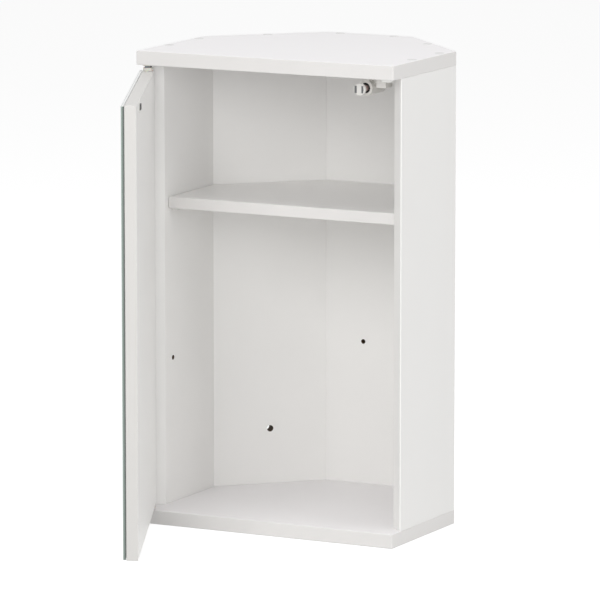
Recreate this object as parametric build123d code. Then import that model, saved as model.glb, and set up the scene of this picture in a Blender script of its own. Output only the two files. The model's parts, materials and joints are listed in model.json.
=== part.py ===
"""Corner medicine cabinet: a hexagonal wall cabinet with one mirror door, in millimetres.

+X runs to the right, +Y to the room's corner, +Z up. The origin is on the underside, halfway
between the front edge and the back panel. The door stands open at its rest angle.
"""
import os
from math import cos, hypot, radians, sin, tan

from build123d import *

# Carcass
WIDTH = 298.0  # outside, at the front
HEIGHT = 500.0
BOARD = 15.0  # thickness of every carcass board
SIDE_LENGTH = 147.0  # outside, from the front edge to where the wall panel starts
WALL_LEG = 98.0  # what a 45 degree wall panel takes of the width, and of the depth
OVERHANG = 18.0  # top and bottom panel, in front of the side panels
SIDE_BEVEL = 15.0  # depth of the side panels' bevelled front edge
EDGE_ROUND = 0.8  # all exposed board edges
EDGE_BREAK = 0.4  # upright boards' mitred edges and ends, so that each seam shows as a fine groove

# Shelf and its pins
SHELF_THICKNESS = 12.0
SHELF_FRONT = 40.0  # behind the front edge
SHELF_PLAY = 0.5  # all round, to the inside of the walls
SHELF_PIN_Z = 330.0  # pins in use
SPARE_PIN_Z = 170.0  # empty holes
SHELF_PIN_D = 5.0
SHELF_PIN_REACH = 8.0  # out of the panel
SHELF_PIN_SEAT = 9.0  # into the panel
SHELF_PIN_FRONT = 50.0  # side pins, behind the front edge
SHELF_NOTCH = 2.0  # depth of the shelf's notch over a pin

# Wall screw holes, one in each wall panel
WALL_HOLE_D = 7.0
WALL_HOLE_Z = 75.0

# Screws, caps and dowels of the carcass
SCREW_D = 4.0
SCREW_LENGTH = 40.0
SCREW_HEAD_D = 8.0
SCREW_HEAD = 2.6
CAP_D = 10.0
CAP_THICKNESS = 1.2
CAP_PROUD = 0.3
SIDE_SCREWS = (58.0, 123.0)  # behind the front edge
BACK_SCREW = 32.0  # each side of the middle
DOWEL_D = 6.0
DOWEL_LENGTH = 18.0
DOWEL_HEIGHTS = (75.0, 250.0, 425.0)
HARDWARE_PLAY = 0.05  # radial, round every screw, dowel, pin and bush
HOLE_SPARE = 1.0  # blind holes deeper than what sits in them
HEAD_ROUND = 0.8  # rim of every screw head
RECESS_ARM = 0.35  # cross recess, as shares of the head's diameter
RECESS_SLOT = 0.08
RECESS_DEPTH = 0.25
SCREW_POINT = 0.2  # radius of the blunt tip
DOWEL_CHAMFER = 0.8
PIN_CHAMFER = 0.4

# Door
DOOR_BOARD = 12.0
MIRROR = 3.0
MIRROR_INSET = 0.5
MIRROR_ARRIS = 0.4
ADHESIVE = 0.4
ADHESIVE_INSET = 4.0
DOOR_SIDE_GAP = 1.0  # inside the carcass width, on each side
DOOR_GAP_BELOW = 4.0
DOOR_GAP_ABOVE = 6.5
DOOR_OPEN = 64.7  # degrees from closed, as it stands at rest

# Pivots: a steel pin in the carcass turns in a bush in the door's edge
PIVOT_INSET = 9.0  # pivot axis to the carcass's outside
PIVOT_D = 5.0
PIVOT_COLLAR_D = 7.5
PIVOT_SEAT = 11.0  # pin into the door, and into the panel
BUSH_D = 8.0
BUSH_END = 1.0  # bush's closed end, beyond the pin
DOOR_BUSH_FLANGE_D = 10.5
TOP_BUSH_FLANGE = 3.2  # of the door's upper bush, in the wider gap above the door
BOTTOM_BUSH_FLANGE = 1.4
PANEL_BUSH_FLANGE_D = 11.5
PANEL_BUSH_FLANGE = 1.2
PIVOT_END_PLAY = 0.1
PIVOT_SIDE_PLAY = 0.05  # radial, pin in the door's bush

# Push latch under the top panel, and its strike on the door
LATCH_INSET = 33.0  # latch axis to the right side panel
LATCH_DROP = 13.6  # axis below the top panel
STRIKE_D = 13.0  # plastic disc that carries the strike's steel bar
STRIKE_DISC = 0.8  # disc's thickness
STRIKE_CHAMFER = 0.3
STRIKE = 2.0  # steel bar's face, from the door
STRIKE_BAR_WIDTH = 11.0  # bridges both poles
STRIKE_BAR_HEIGHT = 5.8
STRIKE_BAR_SEAT = 0.5  # floor of the bar's pocket in the disc, from the door
STRIKE_HEAD_D = 4.8
STRIKE_HEAD = 0.8
STRIKE_SLOT = 0.7
STRIKE_GAP = 0.3  # strike to the tip, door shut
TIP_D = 13.0
TIP = 4.0
TIP_ROUND = 0.8
TIP_RIM = 1.3  # round the tip's sunk face
TIP_SINK = 0.5
POLE_WIDTH = 2.1
POLE_HEIGHT = 7.4
POLE_SPACING = 7.8  # middle to middle
POLE_DEPTH = 3.4
MAGNET_RECESS = 1.1  # magnet behind the poles' faces
PLUNGER_D = 6.6
PLUNGER_LENGTH = 32.0
BARREL_D = 16.0
BARREL_BORE_D = 10.8
BARREL_THROAT_D = 6.8  # round the plunger, in the sleeve and behind it
BARREL_FRONT = 32.5  # behind the front edge
BARREL_LENGTH = 34.5
BARREL_MOUTH = 12.0  # depth of the wide bore that holds the sleeve
SLEEVE_INSET = 0.8  # sleeve's end behind the mouth
BARREL_ROUND = 1.0
BARREL_WEB = 8.0  # joins the barrel to the plate
BARREL_END = 2.0
PLATE = 3.0
PLATE_REACH = 26.0  # from the latch axis to the plate's far end
FOOT_WIDTH = 11.0
FOOT_DROP = 12.0
FOOT_FRONT = 27.0
FOOT_LENGTH = 15.0
GUSSET = 2.0
LATCH_SCREW_D = 3.0
LATCH_SCREW_HEAD_D = 6.0
LATCH_SCREW_HEAD = 2.0
LATCH_SCREW_BITE = 9.0  # into the top panel
LATCH_WELL_D = 6.8  # up through the foot to its screw
SPRING_D = 6.2
SPRING_WIRE = 0.7
SPRING_TURNS = 7
SPRING_SEAT = 1.5  # length of the plunger's spigot in the spring
SPRING_PLAY = 0.5  # spigot in the spring, radial

# Small pad under the top panel, at the door's free corner
PAD_WIDTH = 12.0
PAD_DEPTH = 8.0
PAD = 2.6
PAD_SIDE_INSET = 4.5
PAD_FRONT_INSET = 3.0
PAD_ROUND = 0.8

# Worked out from the sizes above
DEPTH = SIDE_LENGTH + WALL_LEG
FRONT = -DEPTH / 2
HALF = WIDTH / 2
CEILING = HEIGHT - BOARD  # underside of the top panel
INSIDE = HALF - BOARD  # inner face of a side panel
MITRE = BOARD * tan(radians(22.5))  # the panels meet at 45 degrees
LATCH_X = INSIDE - LATCH_INSET
LATCH_Z = CEILING - LATCH_DROP
DOOR_BOTTOM = BOARD + DOOR_GAP_BELOW
DOOR_TOP = CEILING - DOOR_GAP_ABOVE
PIVOT_X = PIVOT_INSET - HALF
PIVOT_Y = MIRROR + ADHESIVE + DOOR_BOARD / 2
DOOR_BACK = MIRROR + ADHESIVE + DOOR_BOARD  # door's inner face when shut, behind the front edge
TIP_FRONT = DOOR_BACK + STRIKE + STRIKE_GAP


def prism(points, z_low, z_high):
    """Upright prism over a plan; the plan's y is measured back from the front edge."""
    outline = Polygon(*[(x, y + FRONT) for x, y in points], align=None)
    return Pos(0, 0, z_low) * extrude(outline, amount=z_high - z_low, dir=(0, 0, 1))


def block(x_low, x_high, y_low, y_high, z_low, z_high):
    return prism([(x_low, y_low), (x_high, y_low), (x_high, y_high), (x_low, y_high)], z_low, z_high)


def upright(x, y, z_low, z_high, diameter):
    """Upright round bar; y is measured back from the front edge."""
    middle = Pos(x, y + FRONT, (z_low + z_high) / 2)
    return middle * Cylinder(diameter / 2, z_high - z_low)


def rod(start, end, diameter):
    """Round bar between two points whose y is measured back from the front edge."""
    low = Vector(start[0], start[1] + FRONT, start[2])
    high = Vector(end[0], end[1] + FRONT, end[2])
    axis = high - low
    return Plane(origin=(low + high) * 0.5, z_dir=axis) * Cylinder(diameter / 2, axis.length)


def soften(board, corners, radius):
    """Rounds a board's upright edges that stand at the given plan corners."""
    chosen = [
        edge
        for edge in board.edges().filter_by(Axis.Z)
        if any(hypot(edge.center().X - x, edge.center().Y - FRONT - y) < 0.1 for x, y in corners)
    ]
    return fillet(chosen, radius)


def upright_board(corners, exposed):
    """Board with broken edges; so many of its first corners are exposed and rounded more."""
    board = prism(corners, BOARD, CEILING)
    if exposed:
        board = soften(board, corners[:exposed], EDGE_ROUND)
    board = soften(board, corners[exposed:], EDGE_BREAK)
    ends = board.edges().group_by(Axis.Z)
    return fillet(ends[0] + ends[-1], EDGE_BREAK)


def carcass_plan():
    """Outline of the top and bottom panel, clockwise from the front left corner."""
    back = HALF - WALL_LEG
    return [(-HALF, 0), (-HALF, SIDE_LENGTH), (-back, DEPTH), (back, DEPTH), (HALF, SIDE_LENGTH), (HALF, 0)]


def carcass_screw_places():
    """Middle of each upright panel's end, where a screw comes through the top or bottom panel."""
    side = HALF - BOARD / 2
    wall_x = HALF - WALL_LEG / 2 - BOARD / 2 * cos(radians(45))
    wall_y = SIDE_LENGTH + WALL_LEG / 2 - BOARD / 2 * sin(radians(45))
    right = [(side, y) for y in SIDE_SCREWS] + [(wall_x, wall_y), (BACK_SCREW, DEPTH - BOARD / 2)]
    return right + [(-x, y) for x, y in right]


def mitre_dowels(diameter, length):
    """Bars square across the four upright mitre joints, at each dowel height."""
    back = HALF - WALL_LEG
    corners = [
        ((HALF, SIDE_LENGTH), (INSIDE, SIDE_LENGTH - MITRE)),
        ((back, DEPTH), (back - MITRE, DEPTH - BOARD)),
    ]
    bars = []
    for side in (-1, 1):
        for (x_out, y_out), (x_in, y_in) in corners:
            span = hypot(x_out - x_in, y_out - y_in)
            dx = side * (y_out - y_in) / span * length / 2
            dy = (x_in - x_out) / span * length / 2
            x, y = side * (x_out + x_in) / 2, (y_out + y_in) / 2
            for z in DOWEL_HEIGHTS:
                bars.append(rod((x - dx, y - dy, z), (x + dx, y + dy, z), diameter))
    return bars


def shelf_pin_rods(z, diameter, outward, inward):
    """Bars on the three pin axes at height z: outward into the room, inward into the panels."""
    left = rod((-INSIDE - inward, SHELF_PIN_FRONT, z), (-INSIDE + outward, SHELF_PIN_FRONT, z), diameter)
    right = rod((INSIDE - outward, SHELF_PIN_FRONT, z), (INSIDE + inward, SHELF_PIN_FRONT, z), diameter)
    face = DEPTH - BOARD
    back = rod((0, face - outward, z), (0, face + inward, z), diameter)
    return left, right, back


def shelf_pin_holes(index):
    """The used and the spare pin hole of one panel: 0 left, 1 right, 2 back."""
    bore = SHELF_PIN_D + 2 * HARDWARE_PLAY
    used = shelf_pin_rods(SHELF_PIN_Z, bore, HOLE_SPARE, SHELF_PIN_SEAT)[index]
    return used + shelf_pin_rods(SPARE_PIN_Z, bore, HOLE_SPARE, SHELF_PIN_SEAT)[index]


def cross_recess(x, y, z_face, down, size):
    """Cross slot sunk into a screw head's face; down is -1 for a face that looks up."""
    z_low, z_high = sorted((z_face, z_face + down * size * RECESS_DEPTH))
    arm, half = size * RECESS_ARM, size * RECESS_SLOT
    cross = block(x - arm, x + arm, y - half, y + half, z_low, z_high)
    return cross + block(x - half, x + half, y - arm, y + arm, z_low, z_high)


def upright_screw(x, y, z_head, down, diameter, length, head_d, head):
    """Pan-head screw with a point; z_head is the head's outer face."""
    z_neck = z_head + down * head
    z_point = z_neck + down * (length - diameter)
    z_tip = z_neck + down * length
    body = upright(x, y, *sorted((z_head, z_neck)), head_d)
    body = fillet(body.edges().group_by(Axis.Z)[-1 if down < 0 else 0], HEAD_ROUND)
    body += upright(x, y, *sorted((z_neck, z_point)), diameter)
    point = Cone(diameter / 2, SCREW_POINT, diameter)
    turn = Rot(180, 0, 0) if down < 0 else Rot(0, 0, 0)
    body += Pos(x, y + FRONT, (z_point + z_tip) / 2) * turn * point
    return body - cross_recess(x, y, z_head, down, head_d)


def carcass_screw_holes(z_outer, down):
    """Counterbores and through holes for the carcass screws in the top or bottom panel."""
    head_depth = CAP_THICKNESS - CAP_PROUD + SCREW_HEAD
    cut = []
    for x, y in carcass_screw_places():
        for deep, diameter in ((head_depth, CAP_D), (BOARD, SCREW_D)):
            z_low, z_high = sorted((z_outer, z_outer + down * deep))
            cut.append(upright(x, y, z_low, z_high, diameter + 2 * HARDWARE_PLAY))
    return cut


def pilot_holes():
    """Holes in the upright panels' ends for the carcass screws."""
    deep = SCREW_LENGTH + CAP_THICKNESS - CAP_PROUD + SCREW_HEAD + HOLE_SPARE
    bore = SCREW_D + 2 * HARDWARE_PLAY
    cut = []
    for x, y in carcass_screw_places():
        cut.append(upright(x, y, CEILING - deep + BOARD, CEILING, bore))
        cut.append(upright(x, y, BOARD, deep, bore))
    return cut


def pivot_bush_hole(z_face, down):
    """Blind hole for a pivot bush at the pivot axis."""
    deep = PIVOT_SEAT + BUSH_END
    return upright(PIVOT_X, PIVOT_Y, *sorted((z_face, z_face + down * deep)), BUSH_D + 2 * HARDWARE_PLAY)


def top_panel():
    """Hexagonal board with screw holes from above and the pivot and latch holes below."""
    board = prism(carcass_plan(), CEILING, HEIGHT)
    board = fillet(board.edges(), EDGE_ROUND)
    board -= carcass_screw_holes(HEIGHT, -1)
    board -= pivot_bush_hole(CEILING, 1)
    latch_screw_end = CEILING + LATCH_SCREW_BITE + HOLE_SPARE
    for x, y in latch_screw_places():
        board -= upright(x, y, CEILING, latch_screw_end, LATCH_SCREW_D + 2 * HARDWARE_PLAY)
    return board


def bottom_panel():
    """Hexagonal board with screw holes from below and the pivot hole above."""
    board = prism(carcass_plan(), 0, BOARD)
    board = fillet(board.edges(), EDGE_ROUND)
    board -= carcass_screw_holes(0, 1)
    return board - pivot_bush_hole(BOARD, -1)


def side_panel(side):
    """Side board: bevelled front edge, mitred back edge, shelf-pin holes inside."""
    corners = [
        (side * HALF, OVERHANG),
        (side * INSIDE, OVERHANG + SIDE_BEVEL),
        (side * INSIDE, SIDE_LENGTH - MITRE),
        (side * HALF, SIDE_LENGTH),
    ]
    board = upright_board(corners, 2)
    board -= pilot_holes()
    board -= mitre_dowels(DOWEL_D + 2 * HARDWARE_PLAY, DOWEL_LENGTH + HOLE_SPARE)
    return board - shelf_pin_holes(0 if side < 0 else 1)


def wall_hole_ends(side, reach):
    """Two points on a wall screw hole's axis, from the room side through to the wall side."""
    mid_x = side * (HALF - WALL_LEG / 2)
    mid_y = SIDE_LENGTH + WALL_LEG / 2
    step = cos(radians(45))
    inner = (mid_x - side * step * (BOARD + reach), mid_y - step * (BOARD + reach), WALL_HOLE_Z)
    outer = (mid_x + side * step * reach, mid_y + step * reach, WALL_HOLE_Z)
    return inner, outer


def wall_panel(side):
    """45 degree board that lies on the room's wall, mitred on both edges, with a screw hole."""
    back = HALF - WALL_LEG
    corners = [
        (side * HALF, SIDE_LENGTH),
        (side * INSIDE, SIDE_LENGTH - MITRE),
        (side * (back - MITRE), DEPTH - BOARD),
        (side * back, DEPTH),
    ]
    board = upright_board(corners, 0)
    board -= pilot_holes()
    board -= mitre_dowels(DOWEL_D + 2 * HARDWARE_PLAY, DOWEL_LENGTH + HOLE_SPARE)
    return board - rod(*wall_hole_ends(side, HOLE_SPARE), WALL_HOLE_D)


def back_panel():
    """Short board across the room's corner, mitred on both edges, with shelf-pin holes."""
    back = HALF - WALL_LEG
    inner = back - MITRE
    corners = [(-back, DEPTH), (-inner, DEPTH - BOARD), (inner, DEPTH - BOARD), (back, DEPTH)]
    board = upright_board(corners, 0)
    board -= pilot_holes()
    board -= mitre_dowels(DOWEL_D + 2 * HARDWARE_PLAY, DOWEL_LENGTH + HOLE_SPARE)
    return board - shelf_pin_holes(2)


def shelf():
    """Loose shelf, notched underneath so that it can't slide off its pins."""
    x = INSIDE - SHELF_PLAY
    corner = (SHELF_PLAY + BOARD) * tan(radians(22.5))
    y = SIDE_LENGTH - corner
    back_x = HALF - WALL_LEG - corner
    back_y = DEPTH - BOARD - SHELF_PLAY
    low = SHELF_PIN_Z + SHELF_PIN_D / 2 - SHELF_NOTCH
    outline = [(-x, SHELF_FRONT), (-x, y), (-back_x, back_y), (back_x, back_y), (x, y), (x, SHELF_FRONT)]
    board = prism(outline, low, low + SHELF_THICKNESS)
    board = fillet(board.edges(), EDGE_ROUND)
    half = SHELF_PIN_D / 2 + SHELF_PLAY
    reach = SHELF_PIN_REACH + SHELF_PLAY
    top = low + SHELF_NOTCH
    for side in (-1, 1):
        near, far = sorted((side * (INSIDE - reach), side * INSIDE))
        board -= block(near, far, SHELF_PIN_FRONT - half, SHELF_PIN_FRONT + half, low, top)
    return board - block(-half, half, DEPTH - BOARD - reach, DEPTH - BOARD, low, top)


def shelf_pins():
    """Three pegs, chamfered at both ends."""
    pins = shelf_pin_rods(SHELF_PIN_Z, SHELF_PIN_D, SHELF_PIN_REACH, SHELF_PIN_SEAT)
    return Compound([chamfer(pin.edges().filter_by(GeomType.CIRCLE), PIN_CHAMFER) for pin in pins])


def carcass_screws(z_outer, down):
    """Eight screws into the uprights, their heads sunk under the caps' place."""
    z_head = z_outer + down * (CAP_THICKNESS - CAP_PROUD)
    size = (SCREW_D, SCREW_LENGTH, SCREW_HEAD_D, SCREW_HEAD)
    return Compound([upright_screw(x, y, z_head, down, *size) for x, y in carcass_screw_places()])


def screw_caps():
    """Eight flat covers over the top panel's screws, their rim rounded."""
    low = HEIGHT + CAP_PROUD - CAP_THICKNESS
    caps = []
    for x, y in carcass_screw_places():
        cap = upright(x, y, low, HEIGHT + CAP_PROUD, CAP_D)
        caps.append(fillet(cap.edges().group_by(Axis.Z)[-1], CAP_PROUD))
    return Compound(caps)


def corner_dowels():
    dowels = mitre_dowels(DOWEL_D, DOWEL_LENGTH)
    return Compound([chamfer(dowel.edges().filter_by(GeomType.CIRCLE), DOWEL_CHAMFER) for dowel in dowels])


def panel_bush(z_face, down):
    """Flanged nylon bush that holds a pivot pin in the top or bottom panel."""
    z_end = z_face + down * (PIVOT_SEAT + BUSH_END)
    z_flange = z_face - down * PANEL_BUSH_FLANGE
    body = upright(PIVOT_X, PIVOT_Y, *sorted((z_face, z_end)), BUSH_D)
    body += upright(PIVOT_X, PIVOT_Y, *sorted((z_face, z_flange)), PANEL_BUSH_FLANGE_D)
    z_bore = z_face + down * PIVOT_SEAT
    return body - upright(PIVOT_X, PIVOT_Y, *sorted((z_flange, z_bore)), PIVOT_D + 2 * HARDWARE_PLAY)


def pivot_pin(z_face, z_door, up, door_flange):
    """Steel pin with a collar in the gap; up is 1 where the door lies above the panel."""
    z_low = z_face - up * PIVOT_SEAT
    z_high = z_door + up * PIVOT_SEAT
    collar_low = z_face + up * (PANEL_BUSH_FLANGE + PIVOT_END_PLAY)
    collar_high = z_door - up * (door_flange + PIVOT_END_PLAY)
    body = upright(PIVOT_X, PIVOT_Y, *sorted((z_low, z_high)), PIVOT_D)
    body = chamfer(body.edges().filter_by(GeomType.CIRCLE), PIN_CHAMFER)
    return body + upright(PIVOT_X, PIVOT_Y, *sorted((collar_low, collar_high)), PIVOT_COLLAR_D)


def hang(shape):
    """Swings a door piece from its shut place to the rest angle, about the pivot axis."""
    axis = Pos(PIVOT_X, PIVOT_Y + FRONT, 0)
    return axis * Rot(0, 0, -DOOR_OPEN) * axis.inverse() * shape


def door_bush(z_edge, down, flange):
    """Flanged nylon bush in the door board's edge, in which the pivot pin turns."""
    z_end = z_edge + down * (PIVOT_SEAT + BUSH_END)
    z_flange = z_edge - down * flange
    body = upright(PIVOT_X, PIVOT_Y, *sorted((z_edge, z_end)), BUSH_D)
    body += upright(PIVOT_X, PIVOT_Y, *sorted((z_edge, z_flange)), DOOR_BUSH_FLANGE_D)
    z_bore = z_edge + down * (PIVOT_SEAT + PIVOT_END_PLAY)
    return body - upright(PIVOT_X, PIVOT_Y, *sorted((z_flange, z_bore)), PIVOT_D + 2 * PIVOT_SIDE_PLAY)


def door_sheet(y_front, y_back, inset):
    """A layer of the shut door between two depths, inset on all four edges."""
    x_low = DOOR_SIDE_GAP - HALF + inset
    x_high = HALF - DOOR_SIDE_GAP - inset
    return block(x_low, x_high, y_front, y_back, DOOR_BOTTOM + inset, DOOR_TOP - inset)


def door_board():
    """White board behind the mirror, bored for the two bushes and the strike's screw."""
    board = door_sheet(MIRROR + ADHESIVE, DOOR_BACK, 0)
    board = fillet(board.edges(), EDGE_ROUND)
    board -= pivot_bush_hole(DOOR_TOP, -1)
    board -= pivot_bush_hole(DOOR_BOTTOM, 1)
    screw_end = DOOR_BACK - LATCH_SCREW_BITE - HOLE_SPARE
    board -= strike_bar(screw_end, DOOR_BACK, LATCH_SCREW_D + 2 * HARDWARE_PLAY)
    return hang(board)


def mirror_glass():
    """3 mm mirror with a ground arris round each face."""
    glass = door_sheet(0, MIRROR, MIRROR_INSET)
    return hang(chamfer(glass.edges(), MIRROR_ARRIS))


def mirror_adhesive():
    return hang(door_sheet(MIRROR, MIRROR + ADHESIVE, ADHESIVE_INSET))


def strike_bar(y_low, y_high, diameter):
    """Bar on the latch's axis between two depths."""
    return rod((LATCH_X, y_low, LATCH_Z), (LATCH_X, y_high, LATCH_Z), diameter)


def strike_block(width, height, y_low, y_high):
    """Block centred on the latch's axis between two depths."""
    x, z = width / 2, height / 2
    return block(LATCH_X - x, LATCH_X + x, y_low, y_high, LATCH_Z - z, LATCH_Z + z)


def strike_disc():
    """White plastic disc on the door's inner face, with a pocket for the steel bar."""
    face = DOOR_BACK + STRIKE_DISC
    disc = strike_bar(DOOR_BACK, face, STRIKE_D)
    disc = chamfer(disc.edges().filter_by(GeomType.CIRCLE).group_by(Axis.Y)[-1], STRIKE_CHAMFER)
    width, height = STRIKE_BAR_WIDTH + 2 * HARDWARE_PLAY, STRIKE_BAR_HEIGHT + 2 * HARDWARE_PLAY
    disc -= strike_block(width, height, DOOR_BACK + STRIKE_BAR_SEAT, face)
    return hang(disc - strike_bar(DOOR_BACK, face, LATCH_SCREW_D + 2 * HARDWARE_PLAY))


def strike_plate():
    """Steel bar that the latch's magnet holds, bored for its flush screw."""
    seat, face = DOOR_BACK + STRIKE_BAR_SEAT, DOOR_BACK + STRIKE
    bar = strike_block(STRIKE_BAR_WIDTH, STRIKE_BAR_HEIGHT, seat, face)
    bar = chamfer(bar.edges().group_by(Axis.Y)[-1], STRIKE_CHAMFER)
    bar -= strike_bar(seat, face, LATCH_SCREW_D + 2 * HARDWARE_PLAY)
    return hang(bar - strike_bar(face - STRIKE_HEAD, face, STRIKE_HEAD_D + 2 * HARDWARE_PLAY))


def strike_screw():
    """Screw through the bar and the disc into the door, its slotted head flush in the bar."""
    face = DOOR_BACK + STRIKE
    neck = face - STRIKE_HEAD
    screw = strike_bar(neck, face, STRIKE_HEAD_D)
    screw += strike_bar(DOOR_BACK - LATCH_SCREW_BITE, neck, LATCH_SCREW_D)
    return hang(screw - strike_block(STRIKE_HEAD_D, STRIKE_SLOT, face - STRIKE_HEAD / 2, face))


def latch_screw_places():
    """One screw up inside the foot, one through the plate behind it."""
    x = LATCH_X + PLATE_REACH - FOOT_WIDTH / 2
    rear = BARREL_FRONT + BARREL_LENGTH - FOOT_WIDTH / 2
    return [(x, FOOT_FRONT + FOOT_LENGTH / 2), (x, rear)]


def latch_bracket():
    """Moulded barrel with a screw plate, a foot at the right and a gusset between them."""
    back = BARREL_FRONT + BARREL_LENGTH
    right = LATCH_X + PLATE_REACH
    body = strike_bar(BARREL_FRONT, back, BARREL_D)
    body = fillet(body.edges().filter_by(GeomType.CIRCLE), BARREL_ROUND)
    body += block(LATCH_X - BARREL_D / 2, right, BARREL_FRONT, back, CEILING - PLATE, CEILING)
    web = BARREL_WEB / 2
    web_front, web_back = BARREL_FRONT + BARREL_ROUND, back - BARREL_ROUND
    body += block(LATCH_X - web, LATCH_X + web, web_front, web_back, LATCH_Z, CEILING)
    foot_back = FOOT_FRONT + FOOT_LENGTH
    body += block(right - FOOT_WIDTH, right, FOOT_FRONT, foot_back, CEILING - FOOT_DROP, CEILING)
    body += latch_gusset()
    body -= strike_bar(BARREL_FRONT, BARREL_FRONT + BARREL_MOUTH, BARREL_BORE_D)
    body -= strike_bar(BARREL_FRONT, back - BARREL_END, BARREL_THROAT_D)
    for x, y in latch_screw_places():
        body -= upright(x, y, CEILING - PLATE, CEILING, LATCH_SCREW_D + 2 * HARDWARE_PLAY)
    x, y = latch_screw_places()[0]
    return body - upright(x, y, CEILING - FOOT_DROP, CEILING - PLATE, LATCH_WELL_D)


def latch_sleeve():
    """Black guide in the barrel's wide bore, in which the plunger slides."""
    start, end = BARREL_FRONT + SLEEVE_INSET, BARREL_FRONT + BARREL_MOUTH
    sleeve = strike_bar(start, end, BARREL_BORE_D - 2 * HARDWARE_PLAY)
    return sleeve - strike_bar(start, end, BARREL_THROAT_D)


def latch_gusset():
    """Sloping rib from the foot down to the barrel."""
    barrel_side = LATCH_X + BARREL_D / 2 - BARREL_ROUND
    high = (LATCH_X + PLATE_REACH - FOOT_WIDTH, CEILING)
    low = (barrel_side, LATCH_Z)
    corner = (barrel_side, CEILING)
    rib = Plane.XZ * Polygon(high, low, corner, align=None)
    start = Pos(0, FOOT_FRONT + FOOT_LENGTH - GUSSET + FRONT, 0)
    return start * extrude(rib, amount=GUSSET, dir=(0, 1, 0))


def latch_screws():
    """Two screws up through the bracket's plate; the front one sits inside the foot's well."""
    z_head = CEILING - PLATE - LATCH_SCREW_HEAD
    size = (LATCH_SCREW_D, PLATE + LATCH_SCREW_BITE, LATCH_SCREW_HEAD_D, LATCH_SCREW_HEAD)
    return Compound([upright_screw(x, y, z_head, 1, *size) for x, y in latch_screw_places()])


def latch_plunger():
    """Brown acetal rod that slides in the barrel and carries the tip."""
    end = TIP_FRONT + PLUNGER_LENGTH
    shoulder = end - SPRING_SEAT
    spigot_d = SPRING_D - 2 * SPRING_WIRE - 2 * SPRING_PLAY
    return strike_bar(TIP_FRONT + TIP, shoulder, PLUNGER_D) + strike_bar(shoulder, end, spigot_d)


def latch_pole_blocks():
    """The two upright plates in the tip's face."""
    half_x, half_z = POLE_WIDTH / 2, POLE_HEIGHT / 2
    back = TIP_FRONT + POLE_DEPTH
    poles = []
    for x in (LATCH_X - POLE_SPACING / 2, LATCH_X + POLE_SPACING / 2):
        poles.append(block(x - half_x, x + half_x, TIP_FRONT, back, LATCH_Z - half_z, LATCH_Z + half_z))
    return poles


def latch_magnet_block():
    half_x = POLE_SPACING / 2 - POLE_WIDTH / 2
    half_z = POLE_HEIGHT / 2
    y_low, y_high = TIP_FRONT + MAGNET_RECESS, TIP_FRONT + POLE_DEPTH
    return block(LATCH_X - half_x, LATCH_X + half_x, y_low, y_high, LATCH_Z - half_z, LATCH_Z + half_z)


def latch_tip():
    """White cap that holds the magnet between its two pole plates."""
    cap = strike_bar(TIP_FRONT, TIP_FRONT + TIP, TIP_D)
    cap = fillet(cap.edges().filter_by(GeomType.CIRCLE).group_by(Axis.Y)[0], TIP_ROUND)
    cap -= strike_bar(TIP_FRONT, TIP_FRONT + TIP_SINK, TIP_D - 2 * TIP_RIM)
    return cap - latch_pole_blocks() - latch_magnet_block()


def latch_spring():
    """Compression spring behind the plunger."""
    margin = SPRING_WIRE / 2 + HARDWARE_PLAY
    start = TIP_FRONT + PLUNGER_LENGTH - SPRING_SEAT + margin
    end = BARREL_FRONT + BARREL_LENGTH - BARREL_END - margin
    radius = (SPRING_D - SPRING_WIRE) / 2
    pitch = (end - start) / SPRING_TURNS
    coil = Helix(pitch=pitch, height=end - start, radius=radius)
    wire = sweep(Plane(origin=coil @ 0, z_dir=coil % 0) * Circle(SPRING_WIRE / 2), path=coil)
    return Plane(origin=(LATCH_X, start + FRONT, LATCH_Z), z_dir=(0, 1, 0)) * wire


def top_stop_pad():
    """Small clear pad stuck under the top panel."""
    x_high = HALF - PAD_SIDE_INSET
    y_low = PAD_FRONT_INSET
    pad = block(x_high - PAD_WIDTH, x_high, y_low, y_low + PAD_DEPTH, CEILING - PAD, CEILING)
    return fillet(pad.edges().group_by(Axis.Z)[0], PAD_ROUND)


def build():
    """Every node of the cabinet, by name."""
    return {
        "top_panel": top_panel(),
        "bottom_panel": bottom_panel(),
        "left_side_panel": side_panel(-1),
        "right_side_panel": side_panel(1),
        "left_wall_panel": wall_panel(-1),
        "right_wall_panel": wall_panel(1),
        "back_panel": back_panel(),
        "shelf": shelf(),
        "shelf_pins": shelf_pins(),
        "top_screws": carcass_screws(HEIGHT, -1),
        "bottom_screws": carcass_screws(0, 1),
        "screw_caps": screw_caps(),
        "corner_dowels": corner_dowels(),
        "top_panel_bush": panel_bush(CEILING, 1),
        "bottom_panel_bush": panel_bush(BOARD, -1),
        "top_pivot_pin": pivot_pin(CEILING, DOOR_TOP, -1, TOP_BUSH_FLANGE),
        "bottom_pivot_pin": pivot_pin(BOARD, DOOR_BOTTOM, 1, BOTTOM_BUSH_FLANGE),
        "door_board": door_board(),
        "mirror_glass": mirror_glass(),
        "mirror_adhesive": mirror_adhesive(),
        "door_top_bush": hang(door_bush(DOOR_TOP, -1, TOP_BUSH_FLANGE)),
        "door_bottom_bush": hang(door_bush(DOOR_BOTTOM, 1, BOTTOM_BUSH_FLANGE)),
        "strike_disc": strike_disc(),
        "strike_plate": strike_plate(),
        "strike_screw": strike_screw(),
        "latch_bracket": latch_bracket(),
        "latch_sleeve": latch_sleeve(),
        "latch_screws": latch_screws(),
        "latch_plunger": latch_plunger(),
        "latch_tip": latch_tip(),
        "latch_magnet": latch_magnet_block(),
        "latch_poles": Compound(latch_pole_blocks()),
        "latch_spring": latch_spring(),
        "top_stop_pad": top_stop_pad(),
    }


os.makedirs("parts", exist_ok=True)
for name, shape in build().items():
    export_step(shape, f"parts/{name}.step")
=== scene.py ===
import json
from math import cos, pi, radians, sin

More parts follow.
